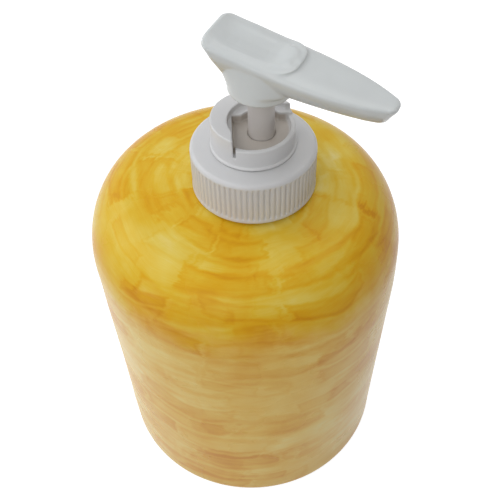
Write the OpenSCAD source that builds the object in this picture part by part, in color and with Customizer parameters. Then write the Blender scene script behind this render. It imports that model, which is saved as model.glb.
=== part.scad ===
/* [Bottle] */
// Radius of the body just above its heel
body_base_r = 41.4; // [38:0.2:46]
// Radius of the body at the top of its wall
body_r = 42.6; // [39:0.2:48]
// Height at which the wall turns into the shoulder
wall_top_z = 81; // [66:0.5:110]
// Distance that the shoulder reaches inwards
shoulder_in = 13.8; // [10:0.2:18]
// Rise of the shoulder
shoulder_up = 18.2; // [12:0.1:24]
// Slope of the top from the shoulder to the neck, in degrees
top_slope = 7; // [4:0.5:10]
// Radius of the rounded heel
heel_r = 2.8; // [1.5:0.1:4]
// Thickness of the cast wall
wall = 4; // [3:0.1:5]
// Thickness of the floor above the foot recess
floor_t = 5; // [3:0.1:7]
// Width of the foot ring
foot_w = 6; // [4:0.5:10]
// Depth of the recess inside the foot ring
foot_recess = 1.2; // [0.6:0.1:2]
// Distance of the neck's axis from the body's axis, towards the spout
neck_shift = 2.6; // [0:0.1:3.5]

/* [Neck insert] */
// Step of the flat land round the hole above the sloping top
land_step = 0.15; // [0.1:0.05:0.4]
// Glue line between the insert's sleeve and the hole
glue_gap = 0.1; // [0.05:0.05:0.2]
// Length of the sleeve below the insert's flange
sleeve_len = 8; // [6:0.5:12]
// Thickness of the insert's flange
insert_flange_t = 1.2; // [0.8:0.1:1.6]
// Wall of the insert's neck under its thread
neck_wall = 2; // [1.6:0.1:2.4]
// Amount by which the insert's sleeve is smaller than its neck, on the radius
sleeve_step = 0.3; // [0.1:0.05:0.6]

/* [Screw closure] */
// Radius of the closure over its bottom band
closure_r = 16; // [15.6:0.1:17]
// Height of the closure
closure_h = 12.6; // [12:0.1:16]
// Wall of the closure's skirt behind its ribs
closure_wall = 1.8; // [1.6:0.1:2.1]
// Space for the thread between the closure's skirt and the neck
thread_room = 1.8; // [1.6:0.1:2]
// Thickness of the closure's top
closure_top_t = 1.7; // [1.2:0.1:2.2]
// Radius of the closure's rounded top edge
closure_edge_r = 1.2; // [0.6:0.1:1.6]
// Number of grip ribs round the closure
rib_count = 72; // [48:4:84]
// Depth of the grooves between the ribs
rib_depth = 0.4; // [0.2:0.05:0.45]
// Height of the plain band at the closure's bottom
band_h = 1; // [0.6:0.1:2]
// Gap between the closure's bottom edge and the bottle
edge_gap = 0.2; // [0.15:0.05:0.4]

/* [Guide collar] */
// Radius of the collar's ring
collar_r = 10.4; // [10:0.1:11.4]
// Radius of the collar's raised wall
guard_r = 9.2; // [9.1:0.1:9.4]
// Thickness of the raised wall and of the front rim
guard_t = 1; // [0.8:0.1:1.1]
// Radius of the flange at the collar's foot
collar_foot_r = 10.8; // [10.6:0.1:12]
// Height of the collar's inner floor above its foot
collar_floor_h = 4; // [3:0.1:6]
// Height of the front rim above the floor
rim_h = 1.5; // [1:0.1:2.5]
// Height of the side block above the front rim
block_h = 0.8; // [0.4:0.1:1.2]
// Height of the raised wall above the side block
guard_h = 1.7; // [1.2:0.1:2.6]
// Distance of the side block's face from the axis
block_face = 5.1; // [4.6:0.1:5.6]
// Distance of the collar's second inner face from the axis
corner_face = 3; // [2:0.1:4]
// Distance of the raised wall's end face from the pump's axis
guard_face = 5.4; // [4.8:0.1:6]
// Turn of the collar about the closure's axis, in degrees
collar_turn = 28; // [0:1:359]
// Radius of the collar's spigot where the closure turns on it
spigot_r = 8.7; // [8.3:0.1:9]

/* [Pump] */
// Space between the pump's barrel and the side of the neck that it stands near
barrel_gap = 0.9; // [0.8:0.1:3.2]
// Stroke of the pump
stroke = 10.1; // [7:0.1:10.5]
// Outer radius of the pump's barrel
barrel_r = 7.2; // [7:0.1:7.6]
// Wall thickness of the barrel
barrel_t = 1.3; // [1:0.1:1.4]
// Length of the barrel below its flange
barrel_len = 40; // [38:0.5:46]
// Thickness of the housing's flange
flange_t = 1.3; // [1:0.1:1.8]
// Thickness of the neck gasket
gasket_t = 1; // [0.6:0.1:1.4]
// Radius of the stem
stem_r = 3.25; // [3.1:0.05:3.4]
// Radius of the passage in the stem
stem_bore_r = 1.8; // [1.6:0.05:1.9]
// Radius of the piston's rod
rod_r = 2.3; // [2.2:0.05:2.4]
// Length of the piston
piston_len = 6.4; // [5.5:0.1:7]
// Outer radius of the dip tube
tube_r = 3.1; // [2.6:0.05:3.3]
// Wall thickness of the dip tube
tube_t = 0.8; // [0.6:0.05:1]
// Gap between the dip tube's foot and the bottle's floor
tube_foot_gap = 3; // [2:0.5:8]
// Radius of the inlet ball
inlet_ball_r = 2.4; // [2.2:0.05:2.5]
// Lift of the inlet ball off its seat
inlet_lift = 1.2; // [0.8:0.1:1.4]
// Radius of the outlet ball
outlet_ball_r = 1.5; // [1.4:0.05:1.55]
// Lift of the outlet ball off its seat
outlet_lift = 1; // [0.6:0.1:1.2]
// Wire radius of the return spring
wire_r = 0.4; // [0.3:0.05:0.45]
// Mean radius of the return spring
spring_r = 4.2; // [4:0.05:4.4]
// Number of turns of the return spring
spring_turns = 8; // [6:1:9]

/* [Actuator] */
// Height of the skirt's bottom edge over the block when the pump is down
down_gap = 0.8; // [0.5:0.1:2]
// Radius of the skirt at its bottom edge
skirt_r = 7.8; // [7.4:0.05:7.85]
// Wall thickness of the skirt
skirt_t = 1.2; // [0.8:0.05:1.4]
// Distance of the head's back edge from the axis
head_back = 10.7; // [10.2:0.1:12]
// Distance of the spout's tip from the axis
spout_reach = 32.5; // [28:0.1:36]
// Half of the head's width at its back
head_half_w = 7.4; // [6.8:0.1:7.6]
// Half of the spout's width at its tip
tip_half_w = 2.3; // [2.1:0.1:3.2]
// Height of the head's back edge above the skirt's bottom edge
head_h = 12.6; // [12:0.1:14]
// Fall of the head's top from its back to the tip
top_fall = 7.9; // [7:0.1:8.4]
// Height of the spout's underside above the skirt's bottom edge, at the skirt
under_h = 2.5; // [2.3:0.1:3.2]
// Fall of the spout's underside from the skirt to the tip
under_fall = 2.9; // [1:0.1:3.2]
// Thickness of the rim that overhangs at the head's back
back_rim_t = 2.4; // [1.8:0.1:2.8]
// Height of the thumb pad above the crowned top
pad_h = 0.25; // [0.1:0.05:0.6]
// Depth of the dish in the thumb pad
pad_dish = 0.6; // [0:0.1:0.8]
// Rise of the thumb pad's round front end
pad_bump = 0.6; // [0:0.1:0.8]
// Distance of the thumb pad's front end from the axis
pad_front = 10.2; // [8:0.1:13]
// Radius of the outlet at the spout's tip
outlet_r = 1.2; // [1:0.05:1.3]

/* [Hidden] */
$fn = 96;
eps = 0.01;

// Clearance of a part that turns or slides in another, on the radius
run_gap = 0.08;
// Clearance between faces that turn or rest near each other
face_gap = 0.15;
// Gap under a ball on its seat, or at the end of a piece that turns on another
seat_gap = 0.04;
// Clearance between pieces that are only near each other
free_gap = 0.3;

// Sloping top of the bottle
shoulder_steps = 16;
slope_angle = atan(shoulder_up / (shoulder_in * tan(top_slope)));
shoulder_end_r = body_r - shoulder_in * (1 - cos(slope_angle));
shoulder_end_z = wall_top_z + shoulder_up * sin(slope_angle);
function dome_z(r) = shoulder_end_z + (shoulder_end_r - r) * tan(top_slope);

// Neck and pump inside the closure, from its skirt inwards
closure_in_r = closure_r - closure_wall;
neck_r = closure_in_r - thread_room;
flange_r = neck_r;
insert_bore_r = neck_r - neck_wall;
sleeve_r = neck_r - sleeve_step;
mouth_r = sleeve_r + glue_gap;
pump_shift = insert_bore_r - barrel_r - barrel_gap;
land_gap = 0.4;
insert_flange_gap = 0.2;
land_r = closure_in_r - land_gap;
insert_flange_r = land_r - insert_flange_gap;

// Stack of the closure, the flange, the gasket and the neck, from the bottle upwards
closure_z = dome_z(closure_in_r - neck_shift) + edge_gap;
closure_top_z = closure_z + closure_h;
flange_top_z = closure_top_z - closure_top_t - face_gap;
flange_z = flange_top_z - flange_t;
neck_top_z = flange_z - gasket_t - seat_gap;
gasket_z = flange_z - gasket_t;
land_z = dome_z(mouth_r - neck_shift) + land_step;
gasket_edge = 0.1;
gasket_hole_gap = 0.2;

// Barrel and what works in it
barrel_in_r = barrel_r - barrel_t;
barrel_end_z = flange_z - barrel_len;
collar_tail_len = 3.2;
collar_tail_z = flange_top_z - collar_tail_len;
stem_shoulder_t = 1.4;
stem_low_z = collar_tail_z - stem_shoulder_t - face_gap;
stem_shoulder_w = 1.35;
stem_shoulder_r = stem_r + stem_shoulder_w;
piston_z = stem_low_z - piston_len - seat_gap;
rod_foot_t = 1.2;
rod_foot_z = piston_z - rod_foot_t - seat_gap;
rod_foot_w = 2.5;
rod_foot_r = rod_r + rod_foot_w;
rod_seat_len = 5;
rod_top_z = stem_low_z + rod_seat_len;
cage_gap = 0.4;
cage_r = inlet_ball_r + cage_gap;
seat_r = 1.7;
seat_drop = sqrt(pow(inlet_ball_r, 2) - pow(seat_r, 2));
ball_z = barrel_end_z + seat_drop + seat_gap;
retainer_t = 1;
retainer_bar_w = 1;
retainer_bite = 0.5;
retainer_gap = 0.02;
retainer_z = ball_z + inlet_ball_r + inlet_lift + seat_gap;
spring_z = retainer_z + retainer_t;
spring_top_z = rod_foot_z;
rod_bore_r = 1.05;
outlet_seat_drop = sqrt(pow(outlet_ball_r, 2) - pow(rod_bore_r, 2));
outlet_ball_z = rod_top_z + outlet_seat_drop + seat_gap;
chamber_gap = 0.25;
chamber_r = outlet_ball_r + chamber_gap;
ball_stop_step = 0.25;
ball_stop_r = outlet_ball_r - ball_stop_step;
ball_stop_t = 1;
chamber_top_z = outlet_ball_z + outlet_ball_r + outlet_lift + seat_gap;
socket_len = 9;
socket_wall = 1.2;
socket_r = tube_r + socket_wall;
socket_z = barrel_end_z - socket_len;
seat_plate_t = 2;
tube_z = floor_t + foot_recess + tube_foot_gap;

// Heights of the collar
collar_z = closure_top_z + face_gap;
collar_floor_z = collar_z + collar_floor_h;
rim_z = collar_floor_z + rim_h;
block_z = rim_z + block_h;
guard_z = block_z + guard_h;
well_r = 6.2;
collar_foot_t = 0.6;
slit_w = 0.6;
slit_h = 2.6;
slit_len = 5.2;
ring_step = 0.2;
ring_in_r = collar_r - guard_t - ring_step;
cut_plane_turn = 10;

// Heights and curves of the actuator
skirt_z = block_z + down_gap + stroke;
skirt_in_r = skirt_r - skirt_t;
trunk_h = head_h - back_rim_t;
trunk_set_in = 0.3;
trunk_top = trunk_h - trunk_set_in;
rim_overhang = 0.8;
trunk_back = head_back - rim_overhang;
rim_side = 0.4;
trunk_half_w = head_half_w - rim_side;
boss_r = 4.6;
boss_set_in = 1.5;
boss_z = skirt_z + boss_set_in;
hollow_h = 5.8;
stem_grip = 1.2;
stem_top_z = skirt_z + hollow_h + stem_grip;
head_len = head_back + spout_reach;
back_round = 2.4;
tip_round = 1.3;
edge_drop_end = 0.7;
edge_drop_mid = 0.8;
side_lean = 0.22;
pad_half_w = 5.5;
pad_taper = 0.05;
pad_nose_r = 4.2;
pad_edge = 0.9;
lip_h = 0.5;
lip_run = 3.2;
crown_rise = 0.5;
back_edge_r = 0.9;
back_edge_fall = 0.6;
tip_edge_fall = 0.5;
tip_edge_rise = 0.4;
rim_start = 1;
rim_run = 2.6;
nose_start = 3;
nose_run = 5;
dish_start = 2;
dish_run = 4;
tip_slant = 0.62;
slant_run = 8;
fillet_out = 2.2;
fillet_start = 1;
fillet_run = 1.4;
passage_rise = 1.6;
spout_mid_z = skirt_z + head_h - top_fall - (head_h - top_fall - under_h + under_fall) / 2;

// Grip ribs
rib_steps = 4;
rib_set_in = 0.05;
rib_r = closure_r - rib_set_in;

// Places a child on the axis of the neck and the closure
module at_neck(z = 0) {
    translate([neck_shift, 0, z]) children();
}

// Places a child on the pump's axis
module at_pump(z = 0) {
    translate([neck_shift + pump_shift, 0, z]) children();
}

// Tube with its foot at z
module tube(outer_r, inner_r, z, h) {
    translate([0, 0, z])
        difference() {
            cylinder(r = outer_r, h = h);
            translate([0, 0, -1]) cylinder(r = inner_r, h = h + 2);
        }
}

// Points of the shoulder, on an ellipse that shrinks by t with the wall
function shoulder_points(t) = [
    for (i = [0 : shoulder_steps])
        let (a = slope_angle * i / shoulder_steps)
        [body_r - shoulder_in + (shoulder_in - t) * cos(a), wall_top_z + (shoulder_up - t) * sin(a)]
];

// Outer section of the body, with its rounded heel and foot recess
module body_section() {
    foot_in_r = body_base_r - heel_r - foot_w;
    difference() {
        union() {
            polygon(concat(
                [[0, 0], [body_base_r - heel_r, 0], [body_base_r, heel_r]],
                shoulder_points(0),
                [[0, dome_z(0)]]));
            translate([body_base_r - heel_r, heel_r]) circle(r = heel_r);
        }
        translate([-1, -1]) square([foot_in_r + 1, foot_recess + 1]);
    }
}

// Section of the hollow inside the body
module hollow_section() {
    in_floor_z = floor_t + foot_recess;
    inner_heel = heel_r + 1;
    in_r = body_base_r - wall;
    polygon(concat(
        [[0, in_floor_z], [in_r - inner_heel, in_floor_z], [in_r, in_floor_z + inner_heel]],
        shoulder_points(wall),
        [[0, dome_z(0) - wall]]));
}

module bottle() {
    color("goldenrod")
        difference() {
            union() {
                rotate_extrude() body_section();
                at_neck(land_z - wall) cylinder(r = land_r, h = wall);
            }
            rotate_extrude() hollow_section();
            at_neck(land_z - 3 * wall) cylinder(r = mouth_r, h = 4 * wall);
        }
}

module neck_insert() {
    color("ivory")
        at_neck()
            difference() {
                union() {
                    translate([0, 0, land_z - sleeve_len]) cylinder(r = sleeve_r, h = sleeve_len + eps);
                    translate([0, 0, land_z]) cylinder(r = insert_flange_r, h = insert_flange_t);
                    translate([0, 0, land_z]) cylinder(r = neck_r, h = neck_top_z - land_z);
                }
                translate([0, 0, land_z - sleeve_len - 1])
                    cylinder(r = insert_bore_r, h = neck_top_z - land_z + sleeve_len + 2);
            }
}

module neck_gasket() {
    color("gainsboro")
        difference() {
            at_neck(gasket_z) cylinder(r = neck_r - gasket_edge, h = gasket_t);
            at_pump(gasket_z - 1) cylinder(r = barrel_r + gasket_hole_gap, h = gasket_t + 2);
        }
}

// Outline of the ribs: each rib has a crest and a groove beside it
function rib_outline() = [
    for (i = [0 : rib_count * rib_steps - 1])
        let (
            a = 360 * i / (rib_count * rib_steps),
            r = i % rib_steps < 2 ? rib_r : rib_r - rib_depth
        )
        [r * cos(a), r * sin(a)]
];

// Closure's outer form with its rounded top edge
module closure_form() {
    rotate_extrude() {
        square([closure_r - closure_edge_r, closure_h]);
        square([closure_r, closure_h - closure_edge_r]);
        translate([closure_r - closure_edge_r, closure_h - closure_edge_r]) circle(r = closure_edge_r);
    }
}

module closure() {
    color("whitesmoke")
        at_neck(closure_z)
            difference() {
                union() {
                    intersection() {
                        closure_form();
                        linear_extrude(height = closure_h) polygon(rib_outline());
                    }
                    cylinder(r = closure_r, h = band_h);
                }
                translate([0, 0, -1]) cylinder(r = closure_in_r, h = closure_h - closure_top_t + 1);
                cylinder(r = spigot_r + run_gap, h = closure_h + 1);
            }
}

// Part of a plan that lies beyond the open corner of the collar
module closed_side(reach) {
    difference() {
        square(2 * reach, center = true);
        translate([-block_face, -reach - 1]) square([2 * reach, reach + 1 + corner_face]);
    }
}

// Ring of the collar with its foot and side block
module collar_ring() {
    cylinder(r = collar_foot_r, h = collar_foot_t);
    cylinder(r = collar_r, h = rim_z - collar_z);
    linear_extrude(height = block_z - collar_z)
        intersection() {
            circle(r = collar_r);
            closed_side(collar_r + 1);
        }
}

// Raised wall behind the head's skirt
module guard_wall() {
    linear_extrude(height = guard_z - collar_z)
        difference() {
            circle(r = guard_r);
            circle(r = guard_r - guard_t);
            translate([-2 * guard_r, -2 * guard_r]) square([4 * guard_r, 2 * guard_r + guard_face]);
            rotate([0, 0, cut_plane_turn])
                translate([-2 * guard_r, -guard_r]) square([2 * guard_r, 3 * guard_r]);
        }
}

module guide_collar() {
    color("whitesmoke")
        difference() {
            union() {
                at_neck(collar_z) rotate([0, 0, collar_turn]) collar_ring();
                at_pump(collar_z) rotate([0, 0, collar_turn]) guard_wall();
                at_neck(flange_top_z) cylinder(r = spigot_r, h = collar_z - flange_top_z + eps);
                at_pump(collar_tail_z) cylinder(r = barrel_in_r, h = collar_tail_len + eps);
            }
            at_neck(collar_floor_z)
                rotate([0, 0, collar_turn])
                    linear_extrude(height = guard_z)
                        difference() {
                            circle(r = ring_in_r);
                            closed_side(collar_r + 1);
                        }
            at_pump(collar_floor_z) cylinder(r = well_r, h = guard_z);
            difference() {
                at_neck(collar_z + collar_foot_t + free_gap)
                    rotate([0, 0, collar_turn])
                        translate([0, corner_face, 0]) cube([2 * collar_r, 2 * collar_r, guard_z]);
                at_pump(collar_z) cylinder(r = guard_r, h = guard_z);
            }
            at_neck(rim_z - slit_h)
                rotate([0, 0, collar_turn])
                    translate([-block_face - eps, -collar_r - 1, 0])
                        cube([slit_w, slit_len, slit_h + block_h + 1]);
            at_pump(collar_tail_z - 1) cylinder(r = stem_r + run_gap, h = guard_z - collar_tail_z);
        }
}

module pump_housing() {
    color("white")
        difference() {
            union() {
                at_neck(flange_z) cylinder(r = flange_r, h = flange_t);
                at_pump(barrel_end_z) cylinder(r = barrel_r, h = barrel_len + eps);
                at_pump(barrel_end_z - seat_plate_t)
                    cylinder(r1 = socket_r, r2 = barrel_r, h = seat_plate_t + eps);
                at_pump(socket_z) cylinder(r = socket_r, h = socket_len);
            }
            at_pump(retainer_z) cylinder(r = barrel_in_r, h = flange_top_z - retainer_z + 1);
            at_pump(barrel_end_z) cylinder(r = cage_r, h = retainer_z - barrel_end_z + eps);
            at_pump(socket_z) cylinder(r = seat_r, h = socket_len + eps);
            at_pump(socket_z - 1) cylinder(r = tube_r, h = socket_len - seat_plate_t + 1);
        }
}

module dip_tube() {
    color("aliceblue")
        at_pump() tube(tube_r, tube_r - tube_t, tube_z, barrel_end_z - seat_plate_t - tube_z);
}

module inlet_ball() {
    color("lightsteelblue")
        at_pump(ball_z) sphere(r = inlet_ball_r);
}

// Ring over the inlet ball, with a cross that keeps the ball down and lets the liquid by
module ball_retainer() {
    color("white")
        at_pump(retainer_z)
            union() {
                difference() {
                    cylinder(r = barrel_in_r - retainer_gap, h = retainer_t);
                    translate([0, 0, -1]) cylinder(r = cage_r, h = retainer_t + 2);
                }
                for (a = [0, 90]) {
                    rotate([0, 0, a]) translate([-cage_r - retainer_bite, -retainer_bar_w / 2, 0])
                        cube([2 * (cage_r + retainer_bite), retainer_bar_w, retainer_t]);
                }
            }
}

// Rise of the spring's wire after the given number of turns, with a close turn at each end
wire_sides = 8;
ring_per_turn = 16;
spring_rings = spring_turns * ring_per_turn;
close_pitch = 2.1 * wire_r;
open_pitch = (spring_top_z - spring_z - 2 * wire_r - 2 * close_pitch) / (spring_turns - 2);
function coil_rise(turns) =
    close_pitch * min(turns, 1)
    + open_pitch * min(max(turns - 1, 0), spring_turns - 2)
    + close_pitch * max(turns - spring_turns + 1, 0);

// Ring of points round the spring's wire
function spring_ring(i) =
    let (
        a = 360 * i / ring_per_turn,
        z = wire_r + coil_rise(i / ring_per_turn)
    )
    [
        for (j = [0 : wire_sides - 1])
            let (
                b = 360 * j / wire_sides,
                r = spring_r + wire_r * cos(b)
            )
            [r * cos(a), r * sin(a), z + wire_r * sin(b)]
    ];

// Side faces between rings of n points, with both ends closed
function ring_faces(rings, n) = concat(
    [[for (j = [0 : n - 1]) j]],
    [
        for (i = [0 : rings - 2])
            for (j = [0 : n - 1])
                for (half = [0, 1])
                    let (k = (j + 1) % n)
                    half == 0
                        ? [i * n + j, (i + 1) * n + j, (i + 1) * n + k]
                        : [i * n + j, (i + 1) * n + k, i * n + k]
    ],
    [[for (j = [n - 1 : -1 : 0]) (rings - 1) * n + j]]
);

module return_spring() {
    color("silver")
        at_pump(spring_z)
            polyhedron(
                points = [for (i = [0 : spring_rings]) each spring_ring(i)],
                faces = ring_faces(spring_rings + 1, wire_sides));
}

// Seal with a thin lip at each end and a waist between them
module piston() {
    lip_t = 0.9;
    lip_len = 1.6;
    lip_taper = 0.9;
    waist_depth = 1.2;
    waist_r = barrel_in_r - waist_depth;
    hub_t = 1.3;
    hub_r = rod_r + hub_t;
    bore_r = rod_r + run_gap;
    seal_gap = 0.03;
    seal_r = barrel_in_r - seal_gap;
    top = piston_len;
    color("mintcream")
        at_pump(piston_z)
            rotate_extrude()
                polygon([
                    [bore_r, 0], [hub_r, 0], [seal_r - lip_t, lip_len], [seal_r - lip_t, 0], [seal_r, 0],
                    [seal_r, lip_len], [waist_r, lip_len + lip_taper], [waist_r, top - lip_len - lip_taper],
                    [seal_r, top - lip_len], [seal_r, top], [seal_r - lip_t, top],
                    [seal_r - lip_t, top - lip_len], [hub_r, top], [bore_r, top]
                ]);
}

module piston_rod() {
    color("ghostwhite")
        at_pump()
            difference() {
                union() {
                    translate([0, 0, rod_foot_z]) cylinder(r = rod_r, h = rod_top_z - rod_foot_z);
                    translate([0, 0, rod_foot_z]) cylinder(r = rod_foot_r, h = rod_foot_t);
                }
                translate([0, 0, rod_foot_z - 1]) cylinder(r = rod_bore_r, h = rod_top_z - rod_foot_z + 2);
            }
}

module stem() {
    color("snow")
        at_pump()
            difference() {
                union() {
                    translate([0, 0, stem_low_z]) cylinder(r = stem_r, h = stem_top_z - stem_low_z);
                    translate([0, 0, stem_low_z]) cylinder(r = stem_shoulder_r, h = stem_shoulder_t);
                }
                translate([0, 0, stem_low_z - 1]) cylinder(r = rod_r, h = rod_seat_len + 1);
                translate([0, 0, rod_top_z - eps])
                    cylinder(r = chamber_r, h = chamber_top_z - rod_top_z + eps);
                translate([0, 0, chamber_top_z - eps]) cylinder(r = ball_stop_r, h = ball_stop_t + 2 * eps);
                translate([0, 0, chamber_top_z + ball_stop_t])
                    cylinder(r = stem_bore_r, h = stem_top_z - chamber_top_z);
            }
}

module outlet_ball() {
    color("lightsteelblue")
        at_pump(outlet_ball_z) sphere(r = outlet_ball_r);
}

// Rounding of an edge: 0 at the edge itself and 1 from distance r inwards
function rounded(d, r) = d >= r ? 1 : sqrt(max(0, 1 - pow((r - d) / r, 2)));
// Smooth step from 0 to 1
function smooth(v) =
    let (k = min(1, max(0, v)))
    k * k * (3 - 2 * k);
// Superellipse coordinate
function bow(v, p) = sign(v) * pow(abs(v), p);

// Half width of the head at distance d from its back
function half_width(d) =
    let (w = head_half_w - (head_half_w - tip_half_w) * pow(d / head_len, 4))
    w - back_round * (1 - rounded(d, back_round)) - tip_round * (1 - rounded(head_len - d, tip_round));
// Height of the crowned top on the centre line
function top_line(d) =
    head_h + crown_rise - (top_fall + crown_rise) * d / head_len
    + lip_h * (1 - smooth(d / lip_run))
    - back_edge_fall * (1 - rounded(d, back_edge_r))
    - tip_edge_fall * (1 - rounded(head_len - d, tip_round));
// Drop of the widest line below the top
function edge_drop(d) =
    let (u = d / head_len)
    edge_drop_end + edge_drop_mid * 6.75 * u * pow(1 - u, 2) + lip_h * (1 - smooth(d / lip_run));
// Height of the underside on the centre line, which turns up under the rim at the back
function under_line(d) =
    let (front = under_h - under_fall * (d - head_back) / spout_reach)
    front
    + (head_h - back_rim_t - front) * (1 - smooth((d - rim_start) / rim_run))
    + tip_edge_rise * (1 - rounded(head_len - d, tip_round));
// Height of the thumb pad at a point of the top: dished, with a raised round front end
function pad_rise(d, t) =
    let (
        half_w = pad_half_w - pad_taper * d,
        nose = head_back + pad_front - pad_nose_r,
        inside = d < nose ? half_w - abs(t) : pad_nose_r - norm([d - nose, t * pad_nose_r / half_w]),
        fore = smooth((d - nose + nose_start) / nose_run),
        hollow = smooth((d - dish_start) / dish_run) * (1 - fore) * max(0, 1 - pow(t / half_w, 2))
    )
    (pad_h + pad_bump * fore - pad_dish * hollow) * smooth(inside / pad_edge);

// Section of the head at distance d from its back
section_points = 52;
function head_section(d) =
    let (
        w = half_width(d),
        top = top_line(d),
        mid = top - edge_drop(d),
        low = under_line(d)
    )
    [
        for (j = [0 : section_points - 1])
            let (
                a = 360 * j / section_points,
                t = w * bow(cos(a), sin(a) > 0 ? 0.45 : 0.6) * (1 - side_lean * max(0, -sin(a))),
                z = sin(a) > 0
                    ? mid + (top - mid) * bow(sin(a), 0.7) + pad_rise(d, t)
                    : mid + (mid - low) * bow(sin(a), 0.8),
                lean = tip_slant * smooth((d - head_len + slant_run) / slant_run)
            )
            [d - head_back - lean * (top - z), t, z]
    ];

// Distances of the sections from the head's back, closer together at both ends and round the pad's nose
function head_stations() =
    let (
        nose = head_back + pad_front - pad_nose_r,
        past_pad = head_back + pad_front + pad_edge / 3
    )
    concat(
        [for (k = [0, 0.05, 0.1875, 5 / 12, 17 / 24, 1]) k * back_round],
        [for (i = [1 : 8]) back_round + (nose - back_round) * i / 8],
        [for (i = [1 : 12]) nose + (past_pad - nose) * i / 12],
        [for (i = [1 : 8]) past_pad + (head_len - tip_round - past_pad) * i / 8],
        [for (k = [8, 3.5, 1, 0]) head_len - k * tip_round / 13]
    );

// Head with its thumb pad and spout
module head_form() {
    stations = head_stations();
    polyhedron(
        points = [for (d = stations) each head_section(d)],
        faces = ring_faces(len(stations), section_points));
}

// Plan of the trunk under the head at height z: round at the skirt's edge, drawn out backwards above
trunk_points = 72;
function trunk_ring(z) =
    let (
        up = z / trunk_h,
        back = skirt_r + (trunk_back - skirt_r) * pow(up, 2.6),
        front = skirt_r + fillet_out * smooth((z - under_h + fillet_start) / fillet_run),
        side = skirt_r + (trunk_half_w - skirt_r) * up,
        p = 1 - 0.4 * up
    )
    [
        for (j = [0 : trunk_points - 1])
            let (a = 360 * j / trunk_points)
            [(cos(a) < 0 ? back : front) * bow(cos(a), p), side * bow(sin(a), p), z]
    ];

// Trunk that joins the skirt to the head
module trunk_form() {
    fillet_top = under_h + fillet_run - fillet_start;
    heights = concat(
        [0],
        [for (k = [0, 0.4, 0.7, 1]) under_h - fillet_start * (1 - k)],
        [for (i = [0 : 5]) fillet_top + (trunk_top - fillet_top) * i / 5]);
    polyhedron(
        points = [for (z = heights) each trunk_ring(z)],
        faces = ring_faces(len(heights), trunk_points));
}

module actuator() {
    channel_rise = stem_top_z + passage_rise - spout_mid_z;
    channel_angle = atan(channel_rise / spout_reach);
    color("white")
        at_pump()
            difference() {
                translate([0, 0, skirt_z])
                    union() {
                        head_form();
                        trunk_form();
                    }
                tube(skirt_in_r, boss_r, skirt_z - 1, hollow_h + 1);
                translate([0, 0, skirt_z - 1]) cylinder(r = skirt_in_r, h = boss_z - skirt_z + 1);
                translate([0, 0, skirt_z - 1]) cylinder(r = stem_r, h = stem_top_z - skirt_z + 1);
                translate([0, 0, stem_top_z - 1]) cylinder(r = stem_bore_r, h = passage_rise + 1);
                translate([0, 0, stem_top_z + passage_rise])
                    rotate([0, 90 + channel_angle, 0])
                        cylinder(r = outlet_r, h = spout_reach + 4);
            }
}

bottle();
neck_insert();
neck_gasket();
closure();
guide_collar();
pump_housing();
dip_tube();
inlet_ball();
ball_retainer();
return_spring();
piston();
piston_rod();
stem();
outlet_ball();
actuator();
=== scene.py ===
"""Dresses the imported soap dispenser: glazed bottle, moulded pump, studio light and camera."""

import math

import bmesh
import bpy
from mathutils import Matrix, Vector, noise


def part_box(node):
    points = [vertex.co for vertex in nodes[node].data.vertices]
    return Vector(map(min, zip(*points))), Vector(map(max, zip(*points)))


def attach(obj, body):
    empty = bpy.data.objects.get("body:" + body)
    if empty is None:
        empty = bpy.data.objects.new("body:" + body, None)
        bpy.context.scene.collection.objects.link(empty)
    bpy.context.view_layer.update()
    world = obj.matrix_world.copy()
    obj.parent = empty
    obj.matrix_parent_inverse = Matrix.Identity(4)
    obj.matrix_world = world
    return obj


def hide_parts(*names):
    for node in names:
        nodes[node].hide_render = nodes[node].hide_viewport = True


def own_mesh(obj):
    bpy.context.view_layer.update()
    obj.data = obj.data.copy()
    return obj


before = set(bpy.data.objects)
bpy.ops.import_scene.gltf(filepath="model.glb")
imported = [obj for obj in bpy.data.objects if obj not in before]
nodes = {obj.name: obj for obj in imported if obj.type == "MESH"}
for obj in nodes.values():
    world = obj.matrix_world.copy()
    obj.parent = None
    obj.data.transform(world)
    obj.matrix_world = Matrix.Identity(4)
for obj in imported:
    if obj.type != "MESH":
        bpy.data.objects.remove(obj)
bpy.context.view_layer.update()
MM = 0.001
TAU = 2 * math.pi


# Sizes, in mm
def node_box(name):
    """Lowest and highest corner of a solid."""
    lo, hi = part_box(name)
    return lo / MM, hi / MM


BODY_BASE_R = 41.4
BODY_R = 42.6
WALL_TOP_Z = 81.0
SHOULDER_IN = 13.8
SHOULDER_UP = 18.2
TOP_SLOPE = math.radians(7)
HEEL_R = 2.8
WALL = 4.0
FLOOR_T = 5.0
FOOT_W = 6.0
FOOT_RECESS = 1.2
NECK_X = 2.6
PUMP_SHIFT = 2.3
PUMP_X = NECK_X + PUMP_SHIFT
MOUTH_R = 12.2
LAND_R = 13.8
LAND_STEP = 0.15

SLOPE_END = math.atan(SHOULDER_UP / (SHOULDER_IN * math.tan(TOP_SLOPE)))
SHOULDER_END_R = BODY_R - SHOULDER_IN * (1 - math.cos(SLOPE_END))
SHOULDER_END_Z = WALL_TOP_Z + SHOULDER_UP * math.sin(SLOPE_END)


def dome_z(r):
    """Height of the low cone of the top at a distance from the bottle's axis."""
    return SHOULDER_END_Z + (SHOULDER_END_R - r) * math.tan(TOP_SLOPE)


# Mesh helpers
def add_object(name, verts, faces, body, material):
    """Makes a mesh object from points in mm, smooth shaded, riding on a body."""
    mesh = bpy.data.meshes.new(name)
    mesh.from_pydata([Vector(v) * MM for v in verts], [], faces)
    mesh.validate()
    mesh.polygons.foreach_set("use_smooth", [True] * len(mesh.polygons))
    obj = bpy.data.objects.new(name, mesh)
    bpy.context.scene.collection.objects.link(obj)
    obj.data.materials.append(material)
    return place(obj, body)


def place(obj, body):
    """Puts an object on its body."""
    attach(obj, body)
    return obj


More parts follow.
